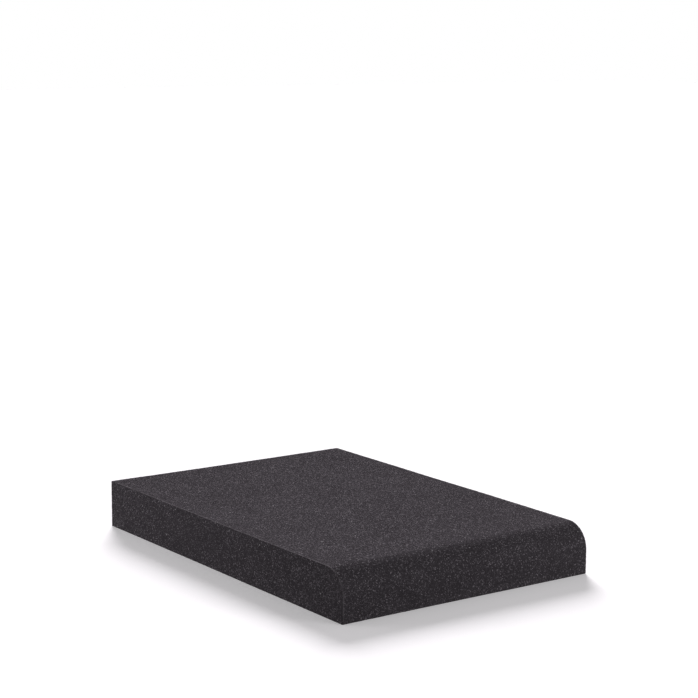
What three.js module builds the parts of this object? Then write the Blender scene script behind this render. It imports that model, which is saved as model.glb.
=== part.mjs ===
// A speaker isolation pad: one block of charcoal open-cell foam that lies flat on a desk or a shelf.
// The block is cut from a flat slab with a contour saw, so its section is the same from end to end:
// a rectangle whose upper front edge is cut to a large round. Nothing is glued to it or set into it.
//
// Sizes are in millimetres. +X runs across the front, +Y runs from the front to the back and +Z is up.
// The origin is the middle of the underside, the face that rests on the desk.
import * as THREE from "three";

// The block's three sizes, each set by itself.
const PAD_WIDTH = 300; // across the front, along X
const PAD_DEPTH = 430; // from the front to the back, along Y
const PAD_THICKNESS = 50; // the slab's own thickness, along Z

// The round on the upper front edge. It takes up just over half of the front's height.
const FRONT_ROUND = 26; // radius
const FRONT_ROUND_STEPS = 24; // straight facets that stand for the quarter circle

// Dark charcoal foam, matt all over.
const FOAM_COLOUR = 0x413d41;
const FOAM_ROUGHNESS = 0.95;

// The block's section, seen from the right-hand end: the shape's x is the depth and its y is the height.
function padSection() {
  const front = -PAD_DEPTH / 2;
  const back = PAD_DEPTH / 2;
  const roundCentreDepth = front + FRONT_ROUND;
  const roundCentreHeight = PAD_THICKNESS - FRONT_ROUND;

  const section = new THREE.Shape();
  section.moveTo(front, 0);
  section.lineTo(back, 0);
  section.lineTo(back, PAD_THICKNESS);
  section.lineTo(roundCentreDepth, PAD_THICKNESS);
  section.absarc(roundCentreDepth, roundCentreHeight, FRONT_ROUND, Math.PI / 2, Math.PI);
  section.closePath();
  return section;
}

// The section swept from end to end. ExtrudeGeometry sweeps along its own z, so the section's two axes
// and the sweep are turned onto the block's depth, height and width.
function padGeometry() {
  const geometry = new THREE.ExtrudeGeometry(padSection(), {
    depth: PAD_WIDTH,
    bevelEnabled: false,
    curveSegments: FRONT_ROUND_STEPS / 2, // an arc gets two facets for each segment
  });
  geometry.translate(0, 0, -PAD_WIDTH / 2);
  const depthHeightWidth = new THREE.Matrix4().makeBasis(
    new THREE.Vector3(0, 1, 0),
    new THREE.Vector3(0, 0, 1),
    new THREE.Vector3(1, 0, 0),
  );
  return geometry.applyMatrix4(depthHeightWidth);
}

const foam = new THREE.MeshStandardMaterial({
  color: FOAM_COLOUR,
  roughness: FOAM_ROUGHNESS,
  metalness: 0,
});

const foamPad = new THREE.Mesh(padGeometry(), foam);
foamPad.name = "foam_pad";

const isolationPad = new THREE.Group();
isolationPad.add(foamPad);

export default isolationPad;
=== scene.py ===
# A speaker isolation pad of charcoal open-cell foam, lying on a white studio floor.
# +X runs across the front, +Y from the front to the back and +Z up. The block is worked out in
# millimetres, as its maker would, and turned to metres when its mesh is made.
import math

import bpy
import numpy as np
from mathutils import Matrix, Vector, noise
from mathutils.geometry import delaunay_2d_cdt


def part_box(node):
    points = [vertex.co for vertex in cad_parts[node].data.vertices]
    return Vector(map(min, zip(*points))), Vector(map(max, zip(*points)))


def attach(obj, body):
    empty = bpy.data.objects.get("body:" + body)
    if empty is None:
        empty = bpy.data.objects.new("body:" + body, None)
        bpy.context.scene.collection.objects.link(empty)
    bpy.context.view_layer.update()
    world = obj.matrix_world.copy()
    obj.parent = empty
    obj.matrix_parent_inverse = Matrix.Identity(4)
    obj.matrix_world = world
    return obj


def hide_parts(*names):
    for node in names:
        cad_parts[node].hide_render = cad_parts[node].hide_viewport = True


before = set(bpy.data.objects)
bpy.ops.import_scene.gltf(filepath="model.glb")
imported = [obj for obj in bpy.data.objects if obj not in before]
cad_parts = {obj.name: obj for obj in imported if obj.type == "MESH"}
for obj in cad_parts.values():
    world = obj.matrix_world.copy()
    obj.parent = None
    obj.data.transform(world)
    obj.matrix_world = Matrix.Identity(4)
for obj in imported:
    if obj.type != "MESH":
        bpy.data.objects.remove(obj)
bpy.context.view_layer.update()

MM = 0.001

# The block, cut from a slab with a contour saw. Its three sizes come from the frame.
pad_low, pad_high = (np.array(corner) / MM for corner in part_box("foam_pad"))
HALF_WIDTH = pad_high[0]
FRONT, BACK, TOP = pad_low[1], pad_high[1], pad_high[2]
FRONT_ROUND = 26.0  # radius cut along the upper front edge
CUT_CORNER = 0.8  # radius that the section's other corners show, because soft foam gives under the blade
END_EDGE = 0.5  # the same along the edges of the two ends

# How far apart the lines of the mesh lie.
EDGE_STEP = 0.5
SIDE_STEP = 1.35
TOP_STEP = 1.8
END_STEP = 1.7
UNDERSIDE_STEP = 9.0
STEP_GROWTH = 1.35  # each step away from an edge is longer by this factor
CORNER_FACETS = 3  # at least as many round each small corner
FILLING_SCATTER = 0.22  # how far the points that fill a flat face stray, as a share of their step

# The relief of the foam: how far apart the bumps of each kind lie, and how far they stand out.
OPEN_CELLS = (2.3, 0.08)
CLUMPS = (8.0, 0.06)
BOW = (120.0, 0.40)
EDGE_CRUMBS = (1.7, 0.15)
EDGE_BITES = (5.0, 0.45)
BITES_START = 0.25  # only lumps above this bite, so bites are rare
CRUMBLE_REACH = 1.5  # how far from an edge the foam crumbles
FLUFF_AND_HIGHLIGHT_REACH = 1.3  # how far from an edge it pales, partly to a fluff and partly with a painted edge highlight
FLUFF_AND_HIGHLIGHT_PATCHES = 7.0  # about how long a pale stretch of an edge is
FLUFF_AND_HIGHLIGHT_COVER = 0.8  # the usual share of fluff and painted highlight along an edge
FLUFF_AND_HIGHLIGHT_CLEAR = 8.0  # below this height the pale edges fade out towards the floor
SAW_MARKS = (5.7, 0.04)
SAW_WANDER = (2.0, 8.0)  # how far the saw marks wander, and how slowly


def linear(colour):
    """A colour written as sRGB hex, as the linear colour that a shader takes."""
    parts = [int(colour[i:i + 2], 16) / 255 for i in (0, 2, 4)]
    return [p / 12.92 if p <= 0.04045 else ((p + 0.055) / 1.055) ** 2.4 for p in parts] + [1.0]


def add_node(tree, kind, settings, inputs):
    """One node with its settings and inputs. An input is a value, or the socket that feeds it."""
    node = tree.nodes.new("ShaderNode" + kind)
    for name, value in settings.items():
        setattr(node, name, value)
    for name, value in inputs.items():
        if isinstance(value, bpy.types.NodeSocket):
            tree.links.new(value, node.inputs[name])
        else:
            node.inputs[name].default_value = value
    return node


# The block's shape


def spread(length, first, coarse, last):
    """Places between 0 and length, both left out. They lie closer at the two ends than between."""
    def run(step):
        places = [0.0]
        while places[-1] + step < length / 2:
            places.append(places[-1] + step)
            step = min(step * STEP_GROWTH, coarse)
        return np.array(places)
    near, far = run(first), length - run(last)[::-1]
    gap = far[0] - near[-1]
    between = np.linspace(near[-1], far[0], max(2, round(gap / coarse) + 1))[1:-1]
    return np.concatenate([near[1:], between, far[:-1]])


def corner(y, z, radius, start):
    """A quarter turn of the section round (y, z), as stations of (y, z, facing)."""
    facets = max(CORNER_FACETS, round(radius * math.pi / 2 / SIDE_STEP))
    facing = np.radians(np.linspace(start, start - 90, facets + 1))
    return np.stack([y + radius * np.cos(facing), z + radius * np.sin(facing), facing], axis=1)


def straight(before, after, first, coarse, last):
    """The stations between two corners of the section."""
    start, end = before[-1], after[0]
    length = math.dist(start[:2], end[:2])
    stations = start + spread(length, first, coarse, last)[:, None] / length * (end - start)
    stations[:, 2] = start[2]
    return stations


def section_stations():
    """The section's outline as (y, z, facing) stations, and how many come before the underside.

    It starts at the foot of the front, and runs up, back along the top, down and home underneath.
    Facing is the angle of the outward direction, from +Y towards +Z."""
    front_foot = corner(FRONT + CUT_CORNER, CUT_CORNER, CUT_CORNER, 270)
    front_round = corner(FRONT + FRONT_ROUND, TOP - FRONT_ROUND, FRONT_ROUND, 180)
    back_top = corner(BACK - CUT_CORNER, TOP - CUT_CORNER, CUT_CORNER, 90)
    back_foot = corner(BACK - CUT_CORNER, CUT_CORNER, CUT_CORNER, 0)
    front = straight(front_foot, front_round, EDGE_STEP, SIDE_STEP, SIDE_STEP)
    top = straight(front_round, back_top, SIDE_STEP, TOP_STEP, EDGE_STEP)
    back = straight(back_top, back_foot, EDGE_STEP, SIDE_STEP, EDGE_STEP)
    underside = straight(back_foot, front_foot, EDGE_STEP, TOP_STEP, EDGE_STEP)
    above = np.concatenate([front_foot, front, front_round, top, back_top, back, back_foot])
    return np.concatenate([above, underside]), len(above)


def width_lines():
    """The lines across the width as (x, inset, lean): at the ends they lean outwards round the edge."""
    lean = np.radians(np.linspace(0, 90, CORNER_FACETS + 1))
    flat = HALF_WIDTH - END_EDGE
    right = np.stack([flat + END_EDGE * np.sin(lean), END_EDGE * (1 - np.cos(lean)), lean], axis=1)
    left = right[::-1] * (-1, 1, -1)
    between = spread(2 * flat, EDGE_STEP, TOP_STEP, EDGE_STEP) - flat
    middle = np.stack([between, 0 * between, 0 * between], axis=1)
    return np.concatenate([left, middle, right])


def depth_in_section(y, z):
    """How deep a point of the section lies inside its outline."""
    depth = np.minimum.reduce([y - FRONT, BACK - y, z, TOP - z])
    from_centre = np.hypot(y - (FRONT + FRONT_ROUND), z - (TOP - FRONT_ROUND))
    in_round = (y < FRONT + FRONT_ROUND) & (z > TOP - FRONT_ROUND)
    return np.where(in_round, np.minimum(depth, FRONT_ROUND - from_centre), depth)


def inside_end(y, z):
    return depth_in_section(y, z) > END_EDGE + END_STEP / 2


def inside_underside(x, y):
    margin = UNDERSIDE_STEP / 2
    return (np.abs(x) < HALF_WIDTH - margin) & (y > FRONT + margin) & (y < BACK - margin)


def fill_flat(outline, inside, step, dice):
    """Points spread inside a flat outline at about that step, and the triangles that fill it."""
    low, high = outline.min(axis=0), outline.max(axis=0)
    grid = np.stack(np.meshgrid(
        np.arange(low[0] + step / 2, high[0], step),
        np.arange(low[1] + step / 2, high[1], step),
    ), axis=-1).reshape(-1, 2)
    grid += dice.uniform(-FILLING_SCATTER, FILLING_SCATTER, grid.shape) * step
    grid = grid[inside(grid[:, 0], grid[:, 1])]
    points = [Vector(p) for p in np.concatenate([outline, grid])]
    triangles, origins = delaunay_2d_cdt(points, [], [list(range(len(outline)))], 1, 1e-6)[2:4]
    return grid, [[origins[place][0] for place in triangle] for triangle in triangles]


def block_surface():
    """The smooth block: its points, the way each faces, and its faces."""
    dice = np.random.default_rng(5)
    stations, underside_start = section_stations()
    lines = width_lines()
    columns, rows = len(lines), len(stations)
    x, inset, lean = (lines[:, i][:, None] for i in range(3))
    y, z, facing = (stations[:, i][None, :] for i in range(3))
    grid_points = np.stack(np.broadcast_arrays(
        x, y - inset * np.cos(facing), z - inset * np.sin(facing),
    ), axis=-1)
    grid_ways = np.stack(np.broadcast_arrays(
        np.sin(lean), np.cos(lean) * np.cos(facing), np.cos(lean) * np.sin(facing),
    ), axis=-1)

    # The underside has its own coarser filling, so the lines stop at its border.
    first, last = CORNER_FACETS, columns - 1 - CORNER_FACETS
    kept = np.ones((columns, rows), bool)
    kept[first + 1:last, underside_start:] = False
    number = np.full((columns, rows), -1)
    number[kept] = np.arange(kept.sum())
    points, ways, faces = [grid_points[kept]], [grid_ways[kept]], []
    for column in range(columns - 1):
        for row in range(rows):
            if first <= column < last and row >= underside_start - 1:
                continue
            after = (row + 1) % rows
            faces.append([
                number[column, row], number[column + 1, row],
                number[column + 1, after], number[column, after],
            ])

    def add_flat(border, axes, level, inside, step, way, flipped):
        """Fills one flat face inside its border, which is made of points numbered already."""
        start = sum(len(part) for part in points)
        outline = points[0][border][:, axes]
        inner, triangles = fill_flat(outline, inside, step, dice)
        added = np.full((len(inner), 3), level)
        added[:, axes] = inner
        points.append(added)
        ways.append(np.tile(np.array(way, float), (len(inner), 1)))
        numbers = list(border) + list(range(start, start + len(inner)))
        for triangle in triangles:
            named = [numbers[i] for i in triangle]
            faces.append(named[::-1] if flipped else named)

    add_flat(number[0], [1, 2], -HALF_WIDTH, inside_end, END_STEP, (-1, 0, 0), True)
    add_flat(number[-1], [1, 2], HALF_WIDTH, inside_end, END_STEP, (1, 0, 0), False)
    border = np.concatenate([
        number[first:last + 1, 0],
        number[last, :underside_start - 1:-1],
        number[last:first - 1:-1, underside_start - 1],
        number[first, underside_start:],
    ])
    add_flat(border, [0, 1], 0.0, inside_underside, UNDERSIDE_STEP, (0, 0, -1), True)
    return np.concatenate(points), np.concatenate(ways), faces


def edge_distance(points):
    """How far each point of the surface lies from the nearest sawn edge."""
    x, y, z = points.T
    return np.minimum.reduce([
        np.maximum(HALF_WIDTH - np.abs(x), depth_in_section(y, z)),
        np.maximum(z, y - FRONT),
        np.maximum(z, BACK - y),
        np.maximum(TOP - z, BACK - y),
    ])


def lumps(points, spacing, seed):
    """Smooth random lumps that lie about that far apart, from -1 to 1. Each seed gives its own."""
    shift = Vector((seed * 37.0, seed * 11.0, 0.0))
    return np.array([noise.noise(Vector(point) / spacing + shift) for point in points])


def off_the_ends(ways):
    """Picks the points that face any way but out of one of the two ends."""
    return np.abs(ways[:, 0]) < 0.5


def relief(points, ways, distance):
    """How far the sawn foam stands out from the smooth block."""
    heights = sum(
        height * lumps(points, spacing, seed)
        for seed, (spacing, height) in enumerate((OPEN_CELLS, CLUMPS, BOW))
    )
    crumbling = np.exp(-(distance / CRUMBLE_REACH) ** 2)
    crumb_spacing, crumb_height = EDGE_CRUMBS
    bite_spacing, bite_depth = EDGE_BITES
    crumbs = crumb_height * lumps(points, crumb_spacing, 3)
    bites = bite_depth * np.maximum(lumps(points, bite_spacing, 4) - BITES_START, 0.0)
    # The blade lies along the width, so its faint marks run along X on the faces that it cuts.
    mark_spacing, mark_height = SAW_MARKS
    along = (points[:, 1] - points[:, 2]) * 2 * math.pi / mark_spacing
    wander, slowness = SAW_WANDER
    marks = mark_height * np.sin(along + wander * np.sin(along / slowness))
    return heights + marks * off_the_ends(ways) + crumbling * (crumbs - bites)


def make_mesh(name, points, faces):
    mesh = bpy.data.meshes.new(name)
    mesh.from_pydata((points * MM).tolist(), [], faces)
    mesh.polygons.foreach_set("use_smooth", [True] * len(mesh.polygons))
    mesh.update()
    piece = bpy.data.objects.new(name, mesh)
    bpy.context.scene.collection.objects.link(piece)
    return piece


def foam_block():
    """The pad itself, whose underside stays flat on the floor."""
    points, ways, faces = block_surface()
    distance = edge_distance(points)
    heights = relief(points, ways, distance)
    heights[points[:, 2] == 0.0] = 0.0
    shaped = points + ways * heights[:, None]
    shaped[:, 2] = np.maximum(shaped[:, 2], 0.0)
    block = make_mesh("charcoal_foam_block", shaped, faces)

    # The ends were sawn last, so the fluff stands on the other faces. The same pale band along the edges is
    # also a painted edge highlight, which fades out towards the floor.
    patches = np.clip(FLUFF_AND_HIGHLIGHT_COVER + FLUFF_AND_HIGHLIGHT_COVER * lumps(points, FLUFF_AND_HIGHLIGHT_PATCHES, 5), 0.0, 1.0)
    clear_of_floor = np.clip(points[:, 2] / FLUFF_AND_HIGHLIGHT_CLEAR, 0.0, 1.0)
    fluff_and_highlight = np.exp(-(distance / FLUFF_AND_HIGHLIGHT_REACH) ** 2) * patches * clear_of_floor * off_the_ends(ways)
    block.data.attributes.new("edge_fluff_and_highlight", "FLOAT", "POINT").data.foreach_set("value", fluff_and_highlight)
    return block


# Materials


def new_material(name):
    material = bpy.data.materials.new(name)
    material.use_nodes = True
    material.node_tree.nodes.clear()
    return material


def sawn_polyurethane_foam():
    """Open-cell polyurethane foam, dyed charcoal in the mix and sawn with a contour blade.

    The eye sees a dead matt surface: pores about 1 mm across, in painted shade, between thin paler
    struts, and a painted glint wherever a strut is taken to turn its flat side to the light."""
    # The pore and deep strut colours are painted shade in the pores.
    painted_pore_shade, painted_deep_strut_shade = linear("2a272a"), linear("373337")
    # The bright strut colour is a painted glint.
    dull_strut, painted_strut_glint = linear("454145"), linear("989198")
    # The fray colour is partly a paler fluff and partly a painted edge highlight.
    # The whole skin colour is a painted glint.
    painted_skin_glint, fluff_and_highlight = linear("aaa5aa"), linear("8f898f")
    cell = 1.0  # across, in millimetres: this foam has about 25 cells to the inch

    material = new_material("sawn_charcoal_polyurethane_foam")
    tree = material.node_tree
    smooth = {"interpolation_type": "SMOOTHSTEP"}
    where = add_node(tree, "TexCoord", {}, {}).outputs["Object"]
    where = add_node(tree, "VectorMath", {"operation": "SCALE"}, {0: where, "Scale": 1 / MM}).outputs[0]

    # Real struts are bent, so the walls of the cells are pushed about by a third of a millimetre.
    push = add_node(tree, "TexNoise", {}, {"Vector": where, "Scale": 1 / (0.9 * cell), "Detail": 1.0})
    bent = add_node(tree, "VectorMath", {"operation": "MULTIPLY_ADD"}, {
        0: push.outputs["Color"], 1: (0.6, 0.6, 0.6), 2: where,
    }).outputs[0]

    # The saw lays open one layer of struts, and a layer of finer ones shows through its pores. The pores
    # and that deeper layer are darkened with painted shade, the pores most.
    wall = add_node(tree, "TexVoronoi", {"feature": "DISTANCE_TO_EDGE"}, {
        "Vector": bent, "Scale": 1 / cell,
    })
    strut = add_node(tree, "MapRange", smooth, {
        "Value": wall.outputs["Distance"], "From Min": 0.04, "From Max": 0.20, "To Min": 1.0, "To Max": 0.0,
    }).outputs[0]
    below = add_node(tree, "VectorMath", {"operation": "ADD"}, {0: bent, 1: (31.7, 12.3, 5.9)}).outputs[0]
    wall = add_node(tree, "TexVoronoi", {"feature": "DISTANCE_TO_EDGE"}, {
        "Vector": below, "Scale": 1 / (0.8 * cell),
    })
    deeper = add_node(tree, "MapRange", smooth, {
        "Value": wall.outputs["Distance"], "From Min": 0.03, "From Max": 0.17, "To Min": 1.0, "To Max": 0.0,
    }).outputs[0]

    # Most struts keep their dull colour, and a few get a painted glint. Each keeps its own share of the
    # painted glint over its whole facet.
    facet = add_node(tree, "TexVoronoi", {}, {"Vector": bent, "Scale": 1 / (0.85 * cell)}).outputs["Color"]
    facet = add_node(tree, "SeparateColor", {}, {"Color": facet}).outputs["Red"]
    strut_glint_share = add_node(tree, "Math", {"operation": "POWER"}, {0: facet, 1: 8.0}).outputs[0]

    # In a colour Mix, inputs 0, 6 and 7 are the share and the two colours, and output 2 is the result.
    colour = {"data_type": "RGBA"}
    struts = add_node(tree, "Mix", colour, {0: strut_glint_share, 6: dull_strut, 7: painted_strut_glint}).outputs[2]
    # Painted shade: the pores darkest, the deeper struts a little lighter.
    foam = add_node(tree, "Mix", colour, {0: deeper, 6: painted_pore_shade, 7: painted_deep_strut_shade}).outputs[2]
    foam = add_node(tree, "Mix", colour, {0: strut, 6: foam, 7: struts}).outputs[2]

    # The dye took a little more or less over patches a couple of centimetres across.
    patch = add_node(tree, "TexNoise", {}, {"Vector": where, "Scale": 1 / 20, "Detail": 2.0}).outputs["Fac"]
    patch = add_node(tree, "MapRange", smooth, {
        "Value": patch, "From Min": 0.3, "From Max": 0.7, "To Min": 0.95, "To Max": 1.05,
    }).outputs[0]
    foam = add_node(tree, "VectorMath", {"operation": "SCALE"}, {0: foam, "Scale": patch}).outputs[0]

    # Here and there the thin skin of a cell is still whole, and a painted glint stands for the light that
    # it catches.
    skin = add_node(tree, "TexVoronoi", {}, {"Vector": where, "Scale": 1 / 4.5})
    chance = add_node(tree, "SeparateColor", {}, {"Color": skin.outputs["Color"]}).outputs["Green"]
    chance = add_node(tree, "Math", {"operation": "POWER"}, {0: chance, 1: 3.0}).outputs[0]
    skin_glint_share = add_node(tree, "MapRange", smooth, {
        "Value": skin.outputs["Distance"], "From Min": 0.08, "From Max": 0.16,
        "To Min": chance, "To Max": 0.0,
    }).outputs[0]
    foam = add_node(tree, "Mix", colour, {0: skin_glint_share, 6: foam, 7: painted_skin_glint}).outputs[2]

    # The sawn edges fray to a paler fluff, and the same pale band is a painted edge highlight.
    fluff_and_highlight_share = add_node(tree, "Attribute", {"attribute_name": "edge_fluff_and_highlight"}, {}).outputs["Fac"]
    fluff_and_highlight_share = add_node(tree, "Math", {"operation": "MULTIPLY"}, {0: fluff_and_highlight_share, 1: 0.34}).outputs[0]
    foam = add_node(tree, "Mix", colour, {0: fluff_and_highlight_share, 6: foam, 7: fluff_and_highlight}).outputs[2]

    # The pores are deeper than this in truth, but more would only show as noise from a step away.
    depth = add_node(tree, "Math", {"operation": "MULTIPLY"}, {0: deeper, 1: 0.5}).outputs[0]
    depth = add_node(tree, "Math", {"operation": "MAXIMUM"}, {0: strut, 1: depth}).outputs[0]
    bump = add_node(tree, "Bump", {}, {"Strength": 0.4, "Distance": 0.3 * MM, "Height": depth})

    # Polyurethane has an IOR of about 1.5, but the pores swallow its gloss, even at a grazing angle.
    shader = add_node(tree, "BsdfPrincipled", {}, {
        "Base Color": foam, "Roughness": 0.95, "IOR": 1.5, "Specular IOR Level": 0.0,
        "Normal": bump.outputs["Normal"],
    })
    add_node(tree, "OutputMaterial", {}, {"Surface": shader.outputs[0]})
    return material


def seen_directly(tree):
    """1 where the camera, a reflection or clear glass shows the surface, 0 where it only lights others."""
    rays = add_node(tree, "LightPath", {}, {}).outputs
    seen = rays["Is Camera Ray"]
    for ray in ("Is Glossy Ray", "Is Transmission Ray"):
        seen = add_node(tree, "Math", {"operation": "MAXIMUM"}, {0: seen, 1: rays[ray]}).outputs[0]
    return seen


def white_paper():
    """Matt white background paper. It takes the pad's shadow, and is plain white everywhere else."""
    material = new_material("matt_white_background_paper")
    tree = material.node_tree
    seen = seen_directly(tree)
    lift = add_node(tree, "Math", {"operation": "MULTIPLY"}, {0: seen, 1: PAPER_LIFT})
    # It throws less light back at the pad than white paper would, as if black cards stood round it.
    paper = add_node(tree, "Mix", {"data_type": "RGBA"}, {
        0: seen, 6: linear("5a595a"), 7: linear("efebef"),
    })
    shader = add_node(tree, "BsdfPrincipled", {}, {
        "Base Color": paper.outputs[2], "Roughness": 1.0, "Specular IOR Level": 0.0,
        "Emission Color": linear("ffffff"), "Emission Strength": lift.outputs[0],
    })
    add_node(tree, "OutputMaterial", {}, {"Surface": shader.outputs[0]})
    return material


# The studio

AMBIENT = 0.27  # the white room's own light
PAPER_LIFT = 0.241  # keeps the far paper white up to the horizon
FLOOR_HALF = 12.0  # metres


def studio_floor():
    half = FLOOR_HALF / MM
    corners = np.array([(-half, -half, 0), (half, -half, 0), (half, half, 0), (-half, half, 0)])
    floor = make_mesh("studio_floor", corners, [[0, 1, 2, 3]])
    floor.data.materials.append(white_paper())


def white_room():
    """A white world that shows as white and lights the pad softly from all sides."""
    world = bpy.data.worlds.new("white_room")
    bpy.context.scene.world = world
    world.use_nodes = True
    tree = world.node_tree
    tree.nodes.clear()
    strength = add_node(tree, "MapRange", {}, {
        "Value": seen_directly(tree), "To Min": AMBIENT, "To Max": 1.0,
    })
    room = add_node(tree, "Background", {}, {"Color": linear("ffffff"), "Strength": strength.outputs[0]})
    add_node(tree, "OutputWorld", {}, {"Surface": room.outputs[0]})


def towards(heading, rise):
    """The direction with that heading, from +Y towards +X, and that rise above the floor, in degrees."""
    heading, rise = math.radians(heading), math.radians(rise)
    return Vector((math.sin(heading) * math.cos(rise), math.cos(heading) * math.cos(rise), math.sin(rise)))


def hang_lamp(lamp, stand, target):
    """Puts a lamp at stand, in metres, turned to its target. The camera doesn't see the lamp itself."""
    hung = bpy.data.objects.new(lamp.name, lamp)
    hung.location = stand
    hung.rotation_euler = (Vector(stand) - Vector(target)).to_track_quat("Z", "Y").to_euler()
    hung.visible_camera = False
    bpy.context.scene.collection.objects.link(hung)


def back_light():
    """A broad soft light from behind and above, so that the pad's shadow falls towards the camera."""
    lamp = bpy.data.lights.new("back_light", "SUN")
    lamp.energy = 4.86
    lamp.angle = math.radians(24)
    hang_lamp(lamp, 3 * towards(30, 25.6), (0, 0, 0))


def side_panel(name, stand, target, watts):
    """A weak panel that lights one of the two sides that the camera sees."""
    lamp = bpy.data.lights.new(name, "AREA")
    lamp.energy = watts
    lamp.size = 0.5
    hang_lamp(lamp, stand, target)


def photo_camera():
    """The camera stands to the left of the front and a little above the pad."""
    camera = bpy.data.objects.new("photo_camera", bpy.data.cameras.new("photo_camera"))
    camera.data.sensor_width = 36.0
    camera.data.lens = 101.284
    camera.data.clip_end = 100.0
    forward = towards(35.933, -9.532)
    level = forward.cross(Vector((0, 0, 1))).normalized()
    right = Matrix.Rotation(math.radians(-0.481), 3, forward) @ level
    place = Matrix((right, right.cross(forward), -forward)).transposed().to_4x4()
    place.translation = Vector((-1.15952, -1.61435, 0.54535))
    camera.matrix_world = place
    bpy.context.scene.collection.objects.link(camera)
    bpy.context.scene.camera = camera


photo_camera()
bpy.context.scene.view_settings.view_transform = "Standard"
studio_floor()
white_room()
back_light()
side_panel("left_panel", (-1.10, 0.60, 0.08), (-0.15, 0.00, 0.03), 9.7)
side_panel("front_panel", (0.60, -1.30, 0.20), (0.00, -0.21, 0.03), 7.8)

block = foam_block()
block.data.materials.append(sawn_polyurethane_foam())
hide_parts("foam_pad")
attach(block, "root")
